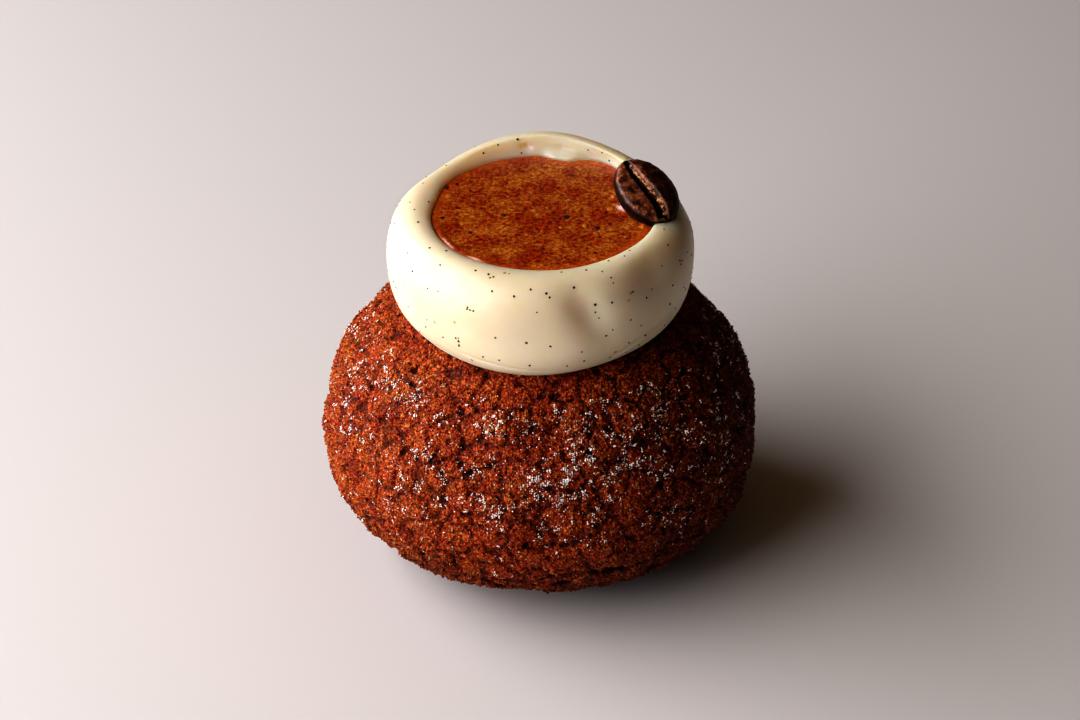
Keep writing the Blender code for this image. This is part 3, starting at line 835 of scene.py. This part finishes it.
def chaff_film(start, end, seed):
    """A strip of film along the crease, from one part of the bean's length to another."""
    draw = np.random.default_rng(seed)
    rows, columns = max(int((end - start) * 70), 6), 5
    points = []
    for row in range(rows + 1):
        part = start + (end - start) * row / rows
        middle = groove_line(part) + 0.42 * MM
        swell = 0.10 + 0.50 * (0.5 + 0.5 * noise.noise(Vector((part * 11.0, seed, 0.0)))) ** 1.5
        half_width = swell * smooth_step(0.0, 0.12, min(row, rows - row) / rows) * MM + 0.03 * MM
        level = BEAN_FACE * (1.0 - part * part) ** 0.4 - 0.25 * MM
        for column in range(columns):
            side = column / (columns - 1) * 2.0 - 1.0
            points.append((part * BEAN_LENGTH / 2,
                           middle + side * half_width + draw.normal(0.0, 0.05) * MM,
                           level + (0.20 * side + draw.normal(0.0, 0.13)) * MM))
    faces = [(a, a + 1, a + columns + 1, a + columns)
             for row in range(rows) for a in range(row * columns, row * columns + columns - 1)]
    mesh = bpy.data.meshes.new("film")
    mesh.from_pydata(points, [], faces)
    film = bpy.data.objects.new("film", mesh)
    bpy.context.scene.collection.objects.link(film)
    modify(film, 'SOLIDIFY', thickness=0.10 * MM, offset=0.0)
    return film


def make_chaff():
    """Silverskin: a crumpled film in pieces along one side of the bean's crease."""
    films = [chaff_film(start, end, seed) for seed, (start, end) in enumerate(CHAFF_STRIPS)]
    work_on(films[0])
    for film in films[1:]:
        film.select_set(True)
    bpy.ops.object.join()
    chaff = films[0]
    chaff.name = chaff.data.name = "bean_chaff"
    modify(chaff, 'SUBSURF', levels=2, render_levels=2)
    crumple = relief_texture("chaff_crumple", 'CLOUDS', 0.30 * MM, noise_depth=1)
    modify(chaff, 'DISPLACE', texture=crumple, texture_coords='LOCAL', strength=0.26 * MM, mid_level=0.5)
    place_bean(chaff.data)
    chaff.data.shade_smooth()
    dress(chaff, chaff_material())
    return chaff


def chaff_material():
    """Silverskin: a dry papery golden film, left in the crease by the roaster."""
    material, shader = new_material("silverskin", Roughness=0.4)
    place = add_node(material, 'ShaderNodeTexCoord').outputs["Object"]
    tone = add_node(material, 'ShaderNodeTexNoise', {"Scale": 1800.0, "Detail": 2.0}, {"Vector": place})
    colour = add_node(material, 'ShaderNodeValToRGB', links={0: tone.outputs["Fac"]})
    set_stops(colour, ((0.38, "#4E2210"), (0.50, "#B06C38"), (0.62, "#F0BE90")))
    material.node_tree.links.new(colour.outputs[0], shader.inputs["Base Color"])
    return material


# ---- sugar and seeds -------------------------------------------------------------------

def sugar_chance(x, y, z):
    """How likely sugar lies at a place: sifted from above, in loose drifts, least low down."""
    drift = 0.5 + 0.5 * noise.noise(Vector((x, y, z)) / SUGAR_DRIFT + Vector((3.1, 1.7, 0.4)))
    fine = 0.5 + 0.5 * noise.noise(Vector((x, y, z)) / SUGAR_PATCH + Vector((0.4, 7.7, 2.4)))
    chance = (0.50 + 0.8 * smooth_step(0.35, 0.75, drift)) * (0.12 + smooth_step(0.42, 0.75, fine))
    chance *= smooth_step(*SUGAR_FADE, z)
    chance *= 0.24 + math.exp(-(turn_between(math.degrees(math.atan2(y, x)), SUGAR_FACING) / 54) ** 2)
    under_cream = math.hypot(x, y) < SUGAR_CLEAR[0] and z > SUGAR_CLEAR[1]
    return 0.0 if under_cream else chance


def sugar_kind(number):
    """A head's kind, the range of its grains and the range of its whiteness."""
    if number % HEAP_EVERY == 0:
        return "heap", (6, 13), (0.50, 1.0)
    if number % ROW_EVERY == 0:
        return "row", (2, 6), (0.15, 0.90)
    return "speck", (1, 2), (0.0, 0.75)


def make_sugar(crust):
    """Powdered sugar: fine specks, and damp grains that cling in little crooked rows and heaps."""
    draw = np.random.default_rng(5)
    places, normals = vertex_places(crust), vertex_normals(crust)
    nearest = kdtree.KDTree(len(places))
    for index, place in enumerate(places):
        nearest.insert(place, index)
    nearest.balance()
    chances = np.array([sugar_chance(*map(float, p)) for p in places])
    chances *= np.clip((normals[:, 2] + 0.55) / 0.8, 0.0, 1.0)
    heads = draw.choice(len(places), size=SUGAR_HEADS, replace=False, p=chances / chances.sum())
    centre, outward, size, tone = [], [], [], []
    for number, head in enumerate(heads):
        kind, span, whiteness = sugar_kind(number)
        grains = 1 if kind == "speck" else int(draw.integers(*span))
        tone += [draw.uniform(*whiteness)] * grains
        walk = places[head].copy()
        heading = draw.normal(0.0, 1.0, 3)
        for _ in range(grains):
            _, near, _ = nearest.find(walk)
            normal = normals[near]
            centre.append(walk * 0.4 + places[near] * 0.6 + normal * draw.uniform(0.08, 0.20) * MM)
            outward.append(normal)
            size.append((draw.uniform(0.18, 0.34) if grains > 1 else draw.uniform(0.14, 0.32)) * MM)
            heading += draw.normal(0.0, 0.9, 3)
            heading -= normal * float(np.dot(heading, normal))
            heading /= max(np.linalg.norm(heading), 1e-6)
            start = places[head] + draw.normal(0.0, HEAP_SPREAD, 3) if kind == "heap" else walk
            walk = start + heading * draw.uniform(0.10, 0.20) * MM
    sugar = scatter_grains("powdered_sugar", np.array(centre), np.array(outward), np.array(size), 6)
    store_attribute(sugar, "tone", np.repeat(tone, 6))
    dress(sugar, sugar_material())
    return sugar


def sugar_material():
    """Icing sugar: white, finely ground, and turned a little brown where it takes up the crust's fat."""
    material, shader = new_material("icing_sugar", Roughness=0.55)
    tone = add_node(material, 'ShaderNodeAttribute', attribute_name="tone").outputs["Fac"]
    colour = add_node(material, 'ShaderNodeValToRGB', links={0: tone})
    set_stops(colour, ((0.0, "#A87C6C"), (0.25, "#D8BEB2"), (0.50, "#F8F0EC"), (0.65, "#FFFFFF")))
    material.node_tree.links.new(colour.outputs[0], shader.inputs["Base Color"])
    return material


def make_seeds(cream):
    """Vanilla seeds: tiny black grains, some in little groups, set in the cream's skin."""
    draw = np.random.default_rng(27)
    places, normals = vertex_places(cream), vertex_normals(cream)
    reach = np.hypot(places[:, 0], places[:, 1])
    open_skin = (places[:, 2] > SEED_LOWEST) & (reach > SEED_INNERMOST)
    heads = []
    for candidate in draw.permutation(np.flatnonzero(open_skin)):
        if len(heads) < SEED_HEADS and all(math.dist(places[candidate], places[head]) > SEED_SPACING
                                           for head in heads):
            heads.append(candidate)
    centre, outward, size = [], [], []
    for head in heads:
        for _ in range(int(draw.integers(2, 5)) if draw.random() < 0.12 else 1):
            step = draw.normal(0.0, 0.5 * MM, 3)
            near = np.argmin(((places - (places[head] + step)) ** 2).sum(axis=1))
            centre.append(places[near])
            outward.append(normals[near])
            size.append(draw.uniform(0.58, 0.84) * MM)
    seeds = scatter_grains("vanilla_seeds", np.array(centre), np.array(outward), np.array(size), 22,
                           flatness=0.45)
    modify(seeds, 'SUBSURF', levels=1, render_levels=1)
    seeds.data.shade_smooth()
    dress(seeds, seed_material())
    return seeds


def seed_material():
    """Vanilla seed: near black, with the wet gloss of the cream round it."""
    material, shader = new_material("vanilla_seed", Roughness=0.4)
    place = add_node(material, 'ShaderNodeTexCoord').outputs["Object"]
    tone = add_node(material, 'ShaderNodeTexNoise', {"Scale": 1200.0}, {"Vector": place})
    colour = add_node(material, 'ShaderNodeValToRGB', links={0: tone.outputs["Fac"]})
    set_stops(colour, ((0.3, "#0C0705"), (0.7, "#241710")))
    material.node_tree.links.new(colour.outputs[0], shader.inputs["Base Color"])
    return material


# ---- stage -----------------------------------------------------------------------------

def make_floor():
    deselect_all()
    bpy.ops.mesh.primitive_plane_add(size=FLOOR_SIZE)
    floor = bpy.context.object
    floor.name = "floor"
    material, shader = new_material("pale_floor", Roughness=0.9)
    shader.inputs["Base Color"].default_value = linear("#DED8D8")
    floor.data.materials.append(material)


def add_soft_light(name, azimuth, elevation, distance, width, height, watts, colour):
    """A flat soft light that faces the puff, like a window; azimuth 0 is the left."""
    light = bpy.data.lights.new(name, 'AREA')
    light.shape = 'RECTANGLE'
    light.size, light.size_y = width, height
    light.energy = watts
    light.color = linear(colour)[:3]
    side, rise = math.radians(azimuth), math.radians(elevation)
    back = Vector((-math.cos(rise) * math.cos(side), -math.cos(rise) * math.sin(side), math.sin(rise)))
    lamp = bpy.data.objects.new(name, light)
    lamp.location = Vector((0.0, 0.0, 0.03)) + back * distance
    lamp.rotation_euler = back.to_track_quat('Z', 'Y').to_euler()
    bpy.context.scene.collection.objects.link(lamp)


def light_scene():
    """One soft window light from the left, and a little warm light from the ceiling and the room."""
    add_soft_light("window", 10, 28, 0.50, 0.89, 0.58, 5.40, "#FFFFFF")
    add_soft_light("ceiling", 0, 90, 0.50, 0.8, 0.8, 0.20, "#FFD094")
    world = bpy.data.worlds.new("room")
    world.use_nodes = True
    world.node_tree.nodes["Background"].inputs["Color"].default_value = linear("#FFE0BC")
    world.node_tree.nodes["Background"].inputs["Strength"].default_value = 0.014
    bpy.context.scene.world = world
    bpy.context.scene.view_settings.view_transform = 'Standard'
    bpy.context.scene.view_settings.look = 'High Contrast'


def add_camera():
    elevation = math.radians(CAMERA_ELEVATION)
    camera = bpy.data.objects.new("camera", bpy.data.cameras.new("camera"))
    back = Vector((0.0, -math.cos(elevation), math.sin(elevation)))
    camera.location = CAMERA_AIM + back * CAMERA_DISTANCE
    camera.rotation_euler = (math.radians(90) - elevation, 0.0, 0.0)
    camera.data.lens = CAMERA_LENS
    camera.data.sensor_width = SENSOR_WIDTH
    camera.data.clip_start = 0.01
    bpy.context.scene.collection.objects.link(camera)
    bpy.context.scene.camera = camera


def main():
    crust = make_crust()
    make_crumbs(crust, crust.data.materials[0])
    cream = make_cream()
    make_nut_bits(make_pool())
    make_bean()
    make_chaff()
    make_sugar(crust)
    thin_crust(crust)
    make_seeds(cream)
    make_floor()
    light_scene()
    add_camera()


main()
